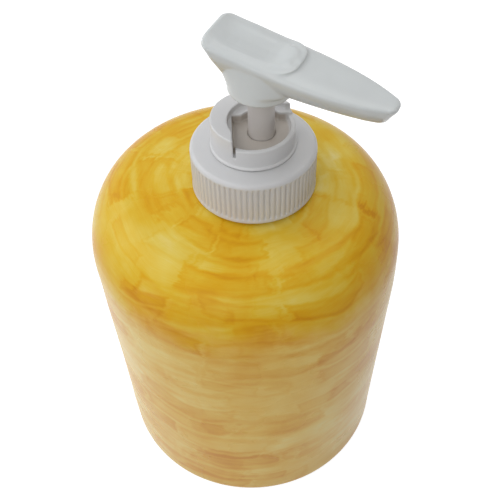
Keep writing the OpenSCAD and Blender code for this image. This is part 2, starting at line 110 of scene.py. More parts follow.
def ring_grid(rings, closed=False):
    """Quads between rings of equal length; closed joins the last ring to the first."""
    n = len(rings[0])
    verts = [p for ring in rings for p in ring]
    faces = []
    count = len(rings)
    for i in range(count if closed else count - 1):
        a, b = i * n, ((i + 1) % count) * n
        for j in range(n):
            k = (j + 1) % n
            faces.append((a + j, a + k, b + k, b + j))
    return verts, faces


def circle(cx, r, n):
    """Points in plan of a circle about a place on the X axis."""
    return [(cx + r * math.cos(TAU * j / n), r * math.sin(TAU * j / n)) for j in range(n)]


def arc(cx, cz, r, a0, a1, steps):
    """Points of an arc in the section plane, angles in degrees."""
    return [
        (
            cx + r * math.cos(math.radians(a0 + (a1 - a0) * i / steps)),
            cz + r * math.sin(math.radians(a0 + (a1 - a0) * i / steps)),
        )
        for i in range(steps + 1)
    ]


def spread(a, b, steps):
    return [a + (b - a) * i / steps for i in range(steps + 1)]


def smoothstep(v):
    k = min(1.0, max(0.0, v))
    return k * k * (3 - 2 * k)


# Node helpers
class Tree:
    """Short forms for building a shader tree."""

    def __init__(self, name):
        self.material = bpy.data.materials.new(name)
        self.material.use_nodes = True
        self.tree = self.material.node_tree
        self.tree.nodes.clear()
        self.out = self.tree.nodes.new("ShaderNodeOutputMaterial")
        self.shader = self.tree.nodes.new("ShaderNodeBsdfPrincipled")
        self.link(self.shader.outputs["BSDF"], self.out.inputs["Surface"])

    def link(self, a, b):
        self.tree.links.new(a, b)

    def put(self, socket, value):
        """Links a socket to another or gives it a plain value."""
        if isinstance(value, bpy.types.NodeSocket):
            self.link(value, socket)
        else:
            socket.default_value = value

    def math(self, op, a, b=0.0, c=0.0):
        n = self.tree.nodes.new("ShaderNodeMath")
        n.operation = op
        for i, v in enumerate((a, b, c)):
            self.put(n.inputs[i], v)
        return n.outputs[0]

    def combine(self, x, y, z):
        n = self.tree.nodes.new("ShaderNodeCombineXYZ")
        for i, v in enumerate((x, y, z)):
            self.put(n.inputs[i], v)
        return n.outputs[0]

    def vector(self, op, a, b):
        n = self.tree.nodes.new("ShaderNodeVectorMath")
        n.operation = op
        self.put(n.inputs[0], a)
        self.put(n.inputs[1], b)
        return n.outputs[0]

    def noise(self, vec, scale, detail=3.0, rough=0.5, out="Fac"):
        n = self.tree.nodes.new("ShaderNodeTexNoise")
        self.link(vec, n.inputs["Vector"])
        n.inputs["Scale"].default_value = scale
        n.inputs["Detail"].default_value = detail
        n.inputs["Roughness"].default_value = rough
        return n.outputs[out]

    def dice(self, vec):
        """Three even random values for each whole step of a vector."""
        n = self.tree.nodes.new("ShaderNodeTexWhiteNoise")
        n.noise_dimensions = "3D"
        self.link(vec, n.inputs["Vector"])
        return n.outputs["Color"]

    def cells(self, vec, scale):
        """Distance to the nearest of many scattered points."""
        n = self.tree.nodes.new("ShaderNodeTexVoronoi")
        self.link(vec, n.inputs["Vector"])
        n.inputs["Scale"].default_value = scale
        return n.outputs["Distance"]

    def ramp(self, fac, stops):
        n = self.tree.nodes.new("ShaderNodeValToRGB")
        self.link(fac, n.inputs["Fac"])
        els = n.color_ramp.elements
        while len(els) > 1:
            els.remove(els[-1])
        els[0].position, els[0].color = stops[0][0], (*stops[0][1], 1)
        for pos, col in stops[1:]:
            e = els.new(pos)
            e.color = (*col, 1)
        return n.outputs["Color"]

    def step(self, value, low, high):
        """0 below low, 1 above high, smooth between."""
        n = self.tree.nodes.new("ShaderNodeMapRange")
        n.interpolation_type = "SMOOTHSTEP"
        n.clamp = True
        self.put(n.inputs["Value"], value)
        n.inputs["From Min"].default_value = low
        n.inputs["From Max"].default_value = high
        return n.outputs["Result"]

    def mix(self, fac, a, b, mode="MIX"):
        n = self.tree.nodes.new("ShaderNodeMix")
        n.data_type = "RGBA"
        n.blend_type = mode
        self.put(n.inputs[0], fac)
        for socket, v in ((n.inputs[6], a), (n.inputs[7], b)):
            self.put(socket, (*v, 1) if isinstance(v, tuple) and len(v) == 3 else v)
        return n.outputs[2]

    def mixf(self, fac, a, b):
        n = self.tree.nodes.new("ShaderNodeMix")
        n.data_type = "FLOAT"
        for i, v in ((0, fac), (2, a), (3, b)):
            self.put(n.inputs[i], v)
        return n.outputs[0]

    def bump(self, height, strength, distance):
        n = self.tree.nodes.new("ShaderNodeBump")
        n.inputs["Strength"].default_value = strength
        n.inputs["Distance"].default_value = distance
        self.link(height, n.inputs["Height"])
        return n.outputs["Normal"]

    def position(self):
        n = self.tree.nodes.new("ShaderNodeTexCoord")
        return n.outputs["Object"]

    def split(self, vec):
        n = self.tree.nodes.new("ShaderNodeSeparateXYZ")
        self.link(vec, n.inputs[0])
        return n.outputs[0], n.outputs[1], n.outputs[2]

    def channel(self, colour, i):
        n = self.tree.nodes.new("ShaderNodeSeparateColor")
        self.link(colour, n.inputs[0])
        return n.outputs[i]

    def set(self, **values):
        for key, v in values.items():
            self.put(self.shader.inputs[key.replace("_", " ")], v)


def srgb(r, g, b):
    """Linear colour from 0-255 display values."""

    def one(v):
        v /= 255
        return v / 12.92 if v <= 0.04045 else ((v + 0.055) / 1.055) ** 2.4

    return one(r), one(g), one(b)


# Materials
GRAIN = 0.02


def plastic(name, colour, roughness, depth):
    """Moulded plastic: faint flow clouds, fine grain and a little light inside."""
    t = Tree(name)
    p = t.position()
    cloud = t.noise(p, 90, 3)
    fine = t.noise(p, 2600, 2)
    shade = t.mixf(t.step(cloud, 0.3, 0.7), 0.965, 1.0)
    t.set(Base_Color=t.mix(1.0, colour, t.combine(shade, shade, shade), "MULTIPLY"))
    t.set(Roughness=t.mixf(cloud, roughness - 0.05, roughness + 0.07))
    t.set(Normal=t.bump(fine, 0.25, GRAIN * MM), IOR=1.5)
    t.set(Subsurface_Weight=depth, Subsurface_Radius=(0.0016, 0.0014, 0.0012), Subsurface_Scale=1.0)
    return t.material


# Radii about the neck's axis and depths below the guard between which the recess darkens with
# painted shade, in mm
RECESS_R = (8.3, 9.3)
RECESS_DEPTH = (2.6, 1.9)


def shaded_plastic(name, colour, inner):
    """Moulded plastic with painted shade: duller and warmer down in the collar's recess, where the
    head shades it.
    """
    t = Tree(name)
    p = t.position()
    x, y, z = t.split(p)
    x = t.math("SUBTRACT", x, NECK_X * MM)
    r = t.math("SQRT", t.math("ADD", t.math("MULTIPLY", x, x), t.math("MULTIPLY", y, y)))
    top = node_box("guide_collar")[1].z * MM
    within = t.math("SUBTRACT", 1.0, t.step(r, *(v * MM for v in RECESS_R)))
    below = t.math("SUBTRACT", 1.0, t.step(z, *(top - v * MM for v in RECESS_DEPTH)))
    soft = t.noise(p, 500, 2, 0.5)
    # painted shade: down in the recess the colour turns toward the darker, warmer inner colour
    painted_shade = t.math("MULTIPLY", within, below)
    painted_shade = t.math("MULTIPLY", painted_shade, t.math("MULTIPLY_ADD", soft, 0.3, 0.85))
    t.set(Base_Color=t.mix(painted_shade, colour, inner), IOR=1.5)
    t.set(Roughness=t.math("MULTIPLY_ADD", soft, 0.06, 0.3))
    return t.material


def natural_plastic(name, colour, milky):
    """Unpigmented plastic that lets some light through."""
    t = Tree(name)
    p = t.position()
    cloud = t.noise(p, 120, 3)
    shade = t.mixf(cloud, 0.94, 1.0)
    t.set(Base_Color=t.mix(1.0, colour, t.combine(shade, shade, shade), "MULTIPLY"))
    t.set(Roughness=t.mixf(cloud, 0.3, 0.4), Transmission_Weight=1 - milky, IOR=1.5)
    return t.material


def steel(name):
    t = Tree(name)
    p = t.position()
    marks = t.noise(t.vector("MULTIPLY", p, (1, 1, 6)), 1500, 3)
    t.set(Base_Color=t.ramp(marks, [(0.3, (0.55, 0.56, 0.58)), (0.7, (0.68, 0.69, 0.71))]))
    t.set(Roughness=t.mixf(marks, 0.16, 0.3), Metallic=1.0)
    return t.material


def foam(name):
    t = Tree(name)
    p = t.position()
    cells = t.cells(p, 2500)
    t.set(Base_Color=t.ramp(cells, [(0.0, (0.62, 0.62, 0.6)), (0.6, (0.78, 0.78, 0.76))]))
    t.set(Roughness=t.mixf(cells, 0.75, 0.9))
    t.set(Normal=t.bump(cells, 0.4, 0.00008))
    return t.material


# Glaze tones from thin to thick, as display values, on the top and on the wall; the wall's are
# paler and peachier with painted reflection and warm bounce light
TONE_STOPS = (0.12, 0.34, 0.54, 0.74, 0.98)
TOP_TONES = ((236, 218, 142), (231, 203, 90), (227, 187, 52), (224, 170, 28), (212, 146, 12))
WALL_TONES_WITH_PAINTED_REFLECTION = ((242, 221, 144), (240, 208, 120), (234, 192, 94), (227, 174, 72), (216, 150, 50))
# Heights between which the wall's tones, with their painted reflection, give way to the top's, in
# mm
TOP_FROM_Z = 81
TOP_FULL_Z = 92
# Heights over which the glaze that pools on the shoulder comes in and goes out, in mm
POOL_IN = (79, 87)
POOL_OUT = (89, 99)
# Layers of strokes: number, strokes to a turn, height in mm, share laid, weight, rims' weight
STROKES = (
    (1.0, 7, 10.5, 0.8, 0.36, 0.15),
    (2.0, 11, 8.0, 0.6, 0.36, 0.15),
    (3.0, 15, 6.0, 0.35, 0.3, 0.1),
)


def tones(colours):
    return [(stop, srgb(*colour)) for stop, colour in zip(TONE_STOPS, colours)]


def brushed_glaze(name):
    """Glossy glaze laid on with a broad brush: layers of overlapping strokes run round
    the bottle, thicker at their edges and ends, with fine bristle lines along them."""
    t = Tree(name)
    p = t.position()
    x, y, z = t.split(p)
    r = t.math("SQRT", t.math("ADD", t.math("MULTIPLY", x, x), t.math("MULTIPLY", y, y)))
    r = t.math("MAXIMUM", r, 0.002)
    ca, sa = t.math("DIVIDE", x, r), t.math("DIVIDE", y, r)
    around = t.math("DIVIDE", t.math("ARCTAN2", y, x), TAU)
    along = t.math("MULTIPLY", t.math("SUBTRACT", z, r), 1 / MM)

    ragged = t.noise(p, 150, 3, 0.6, out="Color")
    ragged_u = t.math("SUBTRACT", t.channel(ragged, 0), 0.5)
    ragged_v = t.math("SUBTRACT", t.channel(ragged, 1), 0.5)

    def swayed(shift, scale):
        """Coordinates round and along the bottle, in turns and mm, that wander like a hand."""
        sway = t.noise(t.vector("ADD", p, (shift, shift, shift)), scale, 2, out="Color")
        sway_u = t.math("SUBTRACT", t.channel(sway, 0), 0.5)
        sway_v = t.math("SUBTRACT", t.channel(sway, 1), 0.5)
        u = t.math("MULTIPLY_ADD", sway_u, 0.12, around)
        return u, t.math("MULTIPLY_ADD", sway_v, 26.0, along)

    hand_v = swayed(0.0, 24.0)[1]

    def streaks(turns, rows, shift, detail):
        """Fine lines that run round: turns sets how long they are, rows how close together."""
        vec = t.combine(
            t.math("MULTIPLY", ca, turns),
            t.math("MULTIPLY", sa, turns),
            t.math("MULTIPLY_ADD", hand_v, rows, shift),
        )
        return t.math("SUBTRACT", t.noise(vec, 1.0, detail, 0.6), 0.5)

    bristle = streaks(5.0, 2.1, 1.1, 4)
    hair = streaks(2.6, 0.8, 5.1, 3)
    smear = streaks(3.0, 0.1, 7.7, 3)
    comb = streaks(1.4, 1.3, 2.9, 2)

    def strokes(layer, count, height, share):
        """Tone and rims of one layer of strokes of a height in mm, count to a turn."""
        own_u, own_v = swayed(layer * 0.31, 20.0)
        v = t.math("MULTIPLY_ADD", own_v, 1 / height, layer * 3.37)
        v = t.math("MULTIPLY_ADD", ragged_v, 0.3, v)
        row = t.math("FLOOR", v)
        fv = t.math("FRACT", v)
        slide = t.channel(t.dice(t.combine(row, layer * 1.7, 0.5)), 0)
        u = t.math("MULTIPLY_ADD", own_u, count, t.math("MULTIPLY", slide, 5.0))
        u = t.math("MULTIPLY_ADD", comb, 0.14, u)
        u = t.math("MULTIPLY_ADD", ragged_u, 0.42, u)
        fu = t.math("FRACT", u)
        col = t.math("FLOORED_MODULO", t.math("FLOOR", u), count)
        cell = t.combine(t.math("ADD", row, 0.5), t.math("ADD", col, 0.25), layer * 2.3 + 0.4)
        dice = t.dice(cell)
        there = t.step(t.channel(dice, 0), 1 - share - 0.02, 1 - share + 0.02)
        inside_v = t.math("MINIMUM", fv, t.math("SUBTRACT", 1.0, fv))
        inside_u = t.math("MINIMUM", fu, t.math("SUBTRACT", 1.0, fu))
        inside_u = t.math("MULTIPLY", inside_u, 2.4)
        inside = t.math("MINIMUM", inside_v, inside_u)
        body = t.math("MULTIPLY", t.step(inside, 0.0, 0.2), there)
        rim = t.math("SUBTRACT", 1.0, t.step(inside, 0.08, 0.34))
        rim = t.math("MULTIPLY", rim, body)
        lean = t.math("SUBTRACT", t.channel(dice, 1), 0.5)
        fade = t.mixf(fu, t.channel(dice, 2), t.math("SUBTRACT", 1.0, t.channel(dice, 2)))
        tone = t.math("MULTIPLY", body, t.math("MULTIPLY_ADD", fade, 0.5, lean))
        return t.math("SUBTRACT", tone, t.math("MULTIPLY", body, 0.25)), rim

    layers = [strokes(*row[:4]) for row in STROKES]

    cloud = t.math("SUBTRACT", t.noise(t.vector("MULTIPLY", p, (1, 1, 1.5)), 34, 4, 0.55), 0.5)
    small_cloud = t.math("SUBTRACT", t.noise(p, 120, 3, 0.5), 0.5)
    patch = t.noise(t.vector("ADD", p, (0.4, 0.1, 0.7)), 75, 2, 0.5)
    patch = t.math("SUBTRACT", patch, 0.5)

    pool = t.math("SUBTRACT", 1.0, t.step(z, POOL_OUT[0] * MM, POOL_OUT[1] * MM))
    pool = t.math("MULTIPLY", t.step(z, POOL_IN[0] * MM, POOL_IN[1] * MM), pool)
    pool = t.math("MULTIPLY", pool, t.math("MULTIPLY_ADD", cloud, 2.0, 0.8))

    parts = [(patch, 0.52), (smear, 0.26)]
    parts += [(own_tone, row[4]) for (own_tone, _), row in zip(layers, STROKES)]
    parts += [(rim, row[5]) for (_, rim), row in zip(layers, STROKES)]
    parts += [(bristle, 0.18), (hair, 0.14), (pool, 0.26), (small_cloud, 0.18)]
    tone = t.math("MULTIPLY_ADD", cloud, 0.5, 0.47)
    for part, weight in parts:
        tone = t.math("MULTIPLY_ADD", part, weight, tone)

    lift = t.math("MULTIPLY_ADD", ragged_v, 0.006, t.math("MULTIPLY_ADD", smear, 0.02, z))
    lift = t.math("MULTIPLY_ADD", layers[1][0], 0.012, lift)
    on_top = t.step(lift, TOP_FROM_Z * MM, TOP_FULL_Z * MM)
    # the upright wall takes paler, peachier tones: painted reflection and warm bounce light over
    # the glaze
    colour = t.mix(on_top, t.ramp(tone, tones(WALL_TONES_WITH_PAINTED_REFLECTION)), t.ramp(tone, tones(TOP_TONES)))
    t.set(Base_Color=colour)
    t.set(Roughness=t.math("MULTIPLY_ADD", cloud, 0.2, 0.27))
    relief = t.math("MULTIPLY_ADD", hair, 0.5, cloud)
    t.set(Normal=t.bump(relief, 0.25, 0.00022), IOR=1.5, Specular_IOR_Level=0.13)
    return t.material


def bisque(name):
    """Bare fired clay under the foot."""
    t = Tree(name)
    p = t.position()
    grit = t.noise(p, 900, 4, 0.6)
    t.set(Base_Color=t.ramp(grit, [(0.3, srgb(196, 180, 158)), (0.7, srgb(222, 210, 192))]))
    t.set(Roughness=t.mixf(grit, 0.8, 0.95))
    t.set(Normal=t.bump(grit, 0.4, 0.0001))
    return t.material


WHITE = plastic("pump_white", (0.675, 0.675, 0.675), 0.33, 0.1)
HEAD_WHITE = plastic("head_white", (0.66, 0.69, 0.685), 0.17, 0.1)
# collar plastic with painted shade darkening its recess under the head
COLLAR_PAINTED_SHADE = shaded_plastic("collar_white_painted_shade", (0.69, 0.69, 0.69), (0.52, 0.475, 0.425))
# warm grey darker than the other plastics: partly a natural plastic's tone, partly painted shade
# and warm bounce light on the stem under the head
STEM_GREY_SHADED = plastic("stem_grey_painted_shade", (0.6, 0.565, 0.535), 0.3, 0.15)
NATURAL = natural_plastic("natural_plastic", (0.86, 0.88, 0.86), 0.7)
TUBE = natural_plastic("tube_plastic", (0.84, 0.87, 0.86), 0.6)
STEEL = steel("spring_steel")
FOAM = foam("gasket_foam")
GLAZE = brushed_glaze("brushed_glaze")
BISQUE = bisque("bisque_foot")


# Bottle
def bottle_rings():
    """Rings of the bottle from the middle of its underside out, over and down inside."""
    rings = []
    foot_in = BODY_BASE_R - HEEL_R - FOOT_W

    def add(r, z, cx=0.0):
        rings.append((cx, r, z))

    for r in (0.4, 12, 24, foot_in - 1.5, foot_in - 0.5):
        add(r, FOOT_RECESS)
    for r, z in arc(foot_in - 0.5, FOOT_RECESS - 0.5, 0.5, 90, 0, 4)[1:]:
        add(r, z)
    for r, z in arc(foot_in + 0.5, 0.5, 0.5, 180, 270, 4):
        add(r, z)
    for k in range(1, 5):
        add(foot_in + 0.5 + (FOOT_W - 0.5) * k / 4, 0.0)
    for r, z in arc(BODY_BASE_R - HEEL_R, HEEL_R, HEEL_R, -90, 0, 9)[1:]:
        add(r, z)
    steps = 40
    for k in range(1, steps + 1):
        u = k / steps
        add(BODY_BASE_R + (BODY_R - BODY_BASE_R) * u, HEEL_R + (WALL_TOP_Z - HEEL_R) * u)
    for k in range(1, 33):
        a = SLOPE_END * k / 32
        add(
            BODY_R - SHOULDER_IN * (1 - math.cos(a)),
            WALL_TOP_Z + SHOULDER_UP * math.sin(a),
        )
    land_z = dome_z(MOUTH_R - NECK_X) + LAND_STEP
    for k in range(1, 13):
        u = k / 12
        add(SHOULDER_END_R + (LAND_R + 0.3 - SHOULDER_END_R) * u, None, NECK_X * smoothstep(u))
    add(LAND_R, land_z - 0.05, NECK_X)
    add(LAND_R - 0.3, land_z, NECK_X)
    add(MOUTH_R + 0.4, land_z, NECK_X)
    for r, z in arc(MOUTH_R + 0.3, land_z - 0.3, 0.3, 90, 180, 3)[1:]:
        add(r, z, NECK_X)
    add(MOUTH_R, land_z - 2, NECK_X)
    add(MOUTH_R, land_z - 4, NECK_X)
    for k in range(1, 9):
        u = k / 8
        add(MOUTH_R + (SHOULDER_END_R - 1 - MOUTH_R) * u, "in", NECK_X * (1 - smoothstep(u)))
    for k in range(15, -1, -1):
        a = SLOPE_END * k / 16
        add(
            BODY_R - SHOULDER_IN + (SHOULDER_IN - WALL) * math.cos(a),
            WALL_TOP_Z + (SHOULDER_UP - WALL) * math.sin(a),
        )
    floor_z = FLOOR_T + FOOT_RECESS
    inner_heel = HEEL_R + 1
    for k in range(1, 9):
        u = k / 8
        inner_z = WALL_TOP_Z + (floor_z + inner_heel - WALL_TOP_Z) * u
        add(BODY_R - WALL - (BODY_R - BODY_BASE_R) * u, inner_z)
    cx, cz = BODY_BASE_R - WALL - inner_heel, floor_z + inner_heel
    for r, z in arc(cx, cz, inner_heel, 0, -90, 6)[1:]:
        add(r, z)
    for r in (24, 12, 0.4):
        add(r, floor_z)
    return rings


# How far the hand-made shoulder leans over at its widest, and where the lean comes in
LEAN = Vector((-1.25, 0.6))
LEAN_FROM_Z = 70
LEAN_RISE = 27
LEAN_FADE = 10
# Hand-made unevenness of the glazed outside: its depth and span, coarse and fine
SWELL = 0.16
RIPPLE = 0.06
SWELL_SPAN = 26.0
RIPPLE_SHARE = 2.3
# The foot ring's face is bare clay
BARE_BELOW_Z = 0.14
BARE_FROM_R = 30


def make_bottle():
    n = 224
    rings = []
    for cx, r, z in bottle_rings():
        ring = []
        for px, py in circle(cx, r, n):
            rr = math.hypot(px, py)
            h = z
            if z is None:
                h = dome_z(rr)
            elif z == "in":
                h = dome_z(rr) - WALL
            q = Vector((px, py, h)) / SWELL_SPAN
            fine = noise.noise(q * RIPPLE_SHARE + Vector((5, 1, 2)))
            out = noise.noise(q) * SWELL + fine * RIPPLE
            wall = smoothstep((h - 3) / 8) * smoothstep((rr - 17) / 6)
            k = 1 + out * wall / max(rr, 1)
            lean = LEAN * smoothstep((h - LEAN_FROM_Z) / LEAN_RISE)
            lean = lean * smoothstep((rr - LAND_R - 2) / LEAN_FADE)
            ring.append((px * k + lean.x, py * k + lean.y, h))
        rings.append(ring)
    verts, faces = ring_grid(rings)
    last = (len(rings) - 1) * n
    faces.append(tuple(range(n - 1, -1, -1)))
    faces.append(tuple(last + j for j in range(n)))
    obj = add_object("bottle_glazed", verts, faces, "bottle", GLAZE)
    obj.data.materials.append(BISQUE)
    for poly in obj.data.polygons:
        c = poly.center / MM
        if c.z < BARE_BELOW_Z and math.hypot(c.x, c.y) > BARE_FROM_R:
            poly.material_index = 1
    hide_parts("bottle")


# Soft moulded copies of CAD nodes
def moulded(node, name, body, material, voxel, relax, reshape):
    """A copy of a solid, reshaped a little, with its edges softened as a mould leaves them.

    voxel is the size in mm of its new faces, relax the number of passes that soften them."""
    mesh = nodes[node].data.copy()
    mesh.name = name
    bm = bmesh.new()
    bm.from_mesh(mesh)
    bmesh.ops.remove_doubles(bm, verts=bm.verts, dist=0.00002)
    reshape(bm)
    bm.to_mesh(mesh)
    bm.free()
    obj = bpy.data.objects.new(name, mesh)
    bpy.context.scene.collection.objects.link(obj)
    soften(obj, voxel, relax)
    obj.data.materials.clear()
    obj.data.materials.append(material)
    place(obj, body)
    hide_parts(node)
    return obj


def soften(obj, voxel, relax):
    """Rebuilds the mesh as even small faces and relaxes its edges."""
    m = obj.modifiers.new("voxels", "REMESH")
    m.mode = "VOXEL"
    m.voxel_size = voxel * MM
    m.use_smooth_shade = True
    m = obj.modifiers.new("relax", "SMOOTH")
    m.factor = 0.5
    m.iterations = relax
    bake(obj)


COLLAR_TURN = math.radians(28)
COLLAR_R = 10.4
BLOCK_FACE = 5.1
CORNER_FACE = 3.0
GUARD_R = 9.2
GUARD_IN_R = 8.2
# Angles in degrees at which the raised side meets the guard, leaves the open corner and ends
GUARD_END = 84
CORNER_END = 90
BLOCK_END = 239.5
BLOCK_DEPTH = 2.6
INSET = 0.02


def raise_block(bm):
    """Builds the collar's closed side up to the guard's height, clear of the head's skirt."""
    top = node_box("guide_collar")[1].z
    pump = Matrix.Rotation(-COLLAR_TURN, 2) @ Vector((PUMP_SHIFT, 0))
    rows = []
    for a in [GUARD_END, CORNER_END] + spread(CORNER_END, BLOCK_END, 72):
        way = Vector((math.cos(math.radians(a)), math.sin(math.radians(a))))
        along = way.dot(pump)
        clear = along**2 - pump.length_squared
        inner, outer = (along + math.sqrt(clear + r**2) for r in (GUARD_IN_R, GUARD_R))
        side = BLOCK_FACE / -way.x if way.x < 0 else COLLAR_R
        corner = CORNER_FACE / way.y if way.y > 0 else COLLAR_R
        inner = min(max(inner, min(side, corner) + INSET), COLLAR_R - 0.3)
        # the first two rows meet the end of the guard, inside its round back
        outer = (outer if len(rows) < 2 else COLLAR_R) - INSET
        near, far = (Matrix.Rotation(COLLAR_TURN, 2) @ (way * r) for r in (inner, outer))
        low = top - BLOCK_DEPTH
        row = [(near, low), (far, low), (far, top), (near, top)]
        rows.append([bm.verts.new(((v.x + NECK_X) * MM, v.y * MM, z * MM)) for v, z in row])
    for a, b in zip(rows, rows[1:]):
        for j in range(4):
            k = (j + 1) % 4
            bm.faces.new((a[j], b[j], b[k], a[k]))
    bm.faces.new(rows[0][::-1])
    bm.faces.new(rows[-1])
    bmesh.ops.recalc_face_normals(bm, faces=bm.faces)


RIM_OUT = 1.0


def draw_back(bm):
    """Draws the head's rim out a little at the back."""
    low = node_box("actuator")[0].z
    for v in bm.verts:
        x, z = v.co.x / MM, v.co.z / MM
        v.co.x -= RIM_OUT * MM * smoothstep((PUMP_X - 3 - x) / 6) * smoothstep((z - low - 2) / 5)


# The pad's nose: distances ahead of the pump's axis, height over the skirt and least upward slant
NOSE_FROM = 2.5
NOSE_TO = 12.5
NOSE_Z = 8.5
NOSE_SLANT = 0.55
NOSE_PASSES = 14


def calm_nose(obj):
    """Softens the round front end of the thumb pad."""
    bm = bmesh.new()
    bm.from_mesh(obj.data)
    low = node_box("actuator")[0].z
    nose = []
    for v in bm.verts:
        x, z = v.co.x / MM - PUMP_X, v.co.z / MM - low
        if NOSE_FROM < x < NOSE_TO and z > NOSE_Z and v.normal.z > NOSE_SLANT:
            nose.append(v)
    ways = {"use_axis_x": True, "use_axis_y": True, "use_axis_z": True}
    for _ in range(NOSE_PASSES):
        bmesh.ops.smooth_vert(bm, verts=nose, factor=0.5, **ways)
    bm.to_mesh(obj.data)
    bm.free()


def bake(obj):
    """Applies the modifiers."""
    dg = bpy.context.evaluated_depsgraph_get()
    dg.update()
    done = bpy.data.meshes.new_from_object(obj.evaluated_get(dg), depsgraph=dg)
    obj.modifiers.clear()
    obj.data = done
    obj.data.polygons.foreach_set("use_smooth", [True] * len(obj.data.polygons))


# Closure, neck insert and spring
RIBS = 72
RIB_DEPTH = 0.45
RIB_R = 15.95
BAND_R = 16.0
BAND_H = 1.0
CLOSURE_IN_R = 14.2
CLOSURE_TOP_T = 1.7
CLOSURE_EDGE_R = 1.2
SPIGOT_HOLE_R = 8.78
NECK_R = 12.4
INSERT_BORE_R = 10.4
INSERT_FLANGE_T = 1.2
THREAD_H = 0.72
THREAD_PITCH = 3.2
THREAD_TURNS = 1.6
THREAD_FOOT = 0.95
THREAD_FLANK = 0.6
CLOSURE_THREAD_Z = 2.2
INSERT_THREAD_Z = 1.4


def thread(z, angle, start):
    """Height of the thread's ridge, 0 to 1, at height z and an angle from 0 to one turn."""
    best = 0.0
    for k in range(3):
        turn = angle / TAU + k
        if turn > THREAD_TURNS:
            break
        ends = smoothstep(turn / 0.06) * smoothstep((THREAD_TURNS - turn) / 0.06)
        off = abs(z - start - THREAD_PITCH * turn)
        best = max(best, ends * smoothstep((THREAD_FOOT - off) / THREAD_FLANK))
    return best


def spun(stations, n, shape):
    """Closed skin about the neck from (r, z, kind) stations; shape gives each angle's radius."""
    rings = []
    for r, z, kind in stations:
        ring = []
        for j in range(n):
            a = TAU * j / n
            rr = shape(r, z, a, kind)
            ring.append((NECK_X + rr * math.cos(a), rr * math.sin(a), z))
        rings.append(ring)
    return ring_grid(rings, closed=True)


def make_closure():
    lo, hi = node_box("closure")
    z0, h = lo.z, hi.z - lo.z
    top_r = RIB_R - 0.05
    stations = [(BAND_R - 0.35, 0, "plain"), (BAND_R - 0.1, 0.1, "plain"), (BAND_R, 0.35, "plain")]
    stations += [(BAND_R, BAND_H - 0.35, "plain"), (BAND_R - 0.06, BAND_H - 0.12, "plain")]
    stations += [(top_r + 0.02, BAND_H + 0.05, "plain"), (top_r, BAND_H + 0.22, 0.35)]
    stations += [(top_r, BAND_H + 0.4, 0.8), (top_r, BAND_H + 0.7, 1.0)]
    stations += [(top_r, z, 1.0) for z in spread(BAND_H + 1.6, h - CLOSURE_EDGE_R - 1.2, 4)]
    stations += [(top_r, h - CLOSURE_EDGE_R - 0.7, 0.9), (top_r, h - CLOSURE_EDGE_R - 0.35, 0.45)]
    edge = arc(top_r - CLOSURE_EDGE_R, h - CLOSURE_EDGE_R, CLOSURE_EDGE_R, 0, 90, 7)
    stations += [(r, z, "plain") for r, z in edge]
    stations += [(r, h, "plain") for r in (13.4, 12.0, 10.4, SPIGOT_HOLE_R + 0.4)]
    stations += [(SPIGOT_HOLE_R + 0.1, h - 0.06, "plain"), (SPIGOT_HOLE_R, h - 0.2, "plain")]
    under = h - CLOSURE_TOP_T
    stations += [(SPIGOT_HOLE_R, under + 0.1, "plain"), (SPIGOT_HOLE_R + 0.1, under, "plain")]
    stations += [(11.5, under, "plain"), (CLOSURE_IN_R - 0.4, under, "plain")]
    stations += [(CLOSURE_IN_R - 0.1, under - 0.1, "plain"), (CLOSURE_IN_R, under - 0.4, "plain")]
    stations += [(CLOSURE_IN_R, z, "thread") for z in spread(under - 0.8, 0.9, 30)]
    stations += [(CLOSURE_IN_R, 0.3, "plain"), (CLOSURE_IN_R + 0.25, 0.02, "plain")]

    def shape(r, z, a, kind):
        if kind == "thread":
            return r - THREAD_H * thread(z - z0, a, CLOSURE_THREAD_Z)
        if kind == "plain":
            return r
        groove = max(0.0, math.cos(RIBS * a)) ** 1.3
        return r - RIB_DEPTH * kind * groove

    stations = [(r, z0 + z, kind) for r, z, kind in stations]
    verts, faces = spun(stations, RIBS * 8, shape)
    obj = add_object("closure_ribbed", verts, faces, "closure", WHITE)
    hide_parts("closure")


def make_insert():
    lo, hi = node_box("neck_insert")
    land_z = dome_z(MOUTH_R - NECK_X) + LAND_STEP
    sleeve_r = MOUTH_R - 0.1
    flange_r = LAND_R - 0.2
    top = land_z + INSERT_FLANGE_T
    stations = [(INSERT_BORE_R + 0.3, lo.z, "plain"), (sleeve_r - 0.4, lo.z, "plain")]
    stations += [(sleeve_r - 0.1, lo.z + 0.1, "plain"), (sleeve_r, lo.z + 0.4, "plain")]
    stations += [(sleeve_r, land_z - 0.01, "plain"), (flange_r - 0.1, land_z, "plain")]
    stations += [(flange_r, land_z + 0.12, "plain"), (flange_r, top - 0.2, "plain")]
    stations += [(flange_r - 0.2, top, "plain"), (NECK_R + 0.2, top, "plain")]
    stations += [(NECK_R, top + 0.2, "plain")]
    stations += [(NECK_R, z, "thread") for z in spread(top + 0.4, hi.z - 0.6, 22)]
    stations += [(NECK_R, hi.z - 0.3, "plain"), (NECK_R - 0.1, hi.z - 0.06, "plain")]
    stations += [(NECK_R - 0.3, hi.z, "plain"), (INSERT_BORE_R + 0.3, hi.z, "plain")]
    stations += [(INSERT_BORE_R + 0.05, hi.z - 0.06, "plain"), (INSERT_BORE_R, hi.z - 0.3, "plain")]
    stations += [(INSERT_BORE_R, lo.z + 0.3, "plain"), (INSERT_BORE_R + 0.08, lo.z + 0.06, "plain")]

    def shape(r, z, a, kind):
        return r + THREAD_H * thread(z - top, a, INSERT_THREAD_Z) if kind == "thread" else r

    verts, faces = spun(stations, 192, shape)
    obj = add_object("insert_threaded", verts, faces, "bottle", WHITE)
    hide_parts("neck_insert")


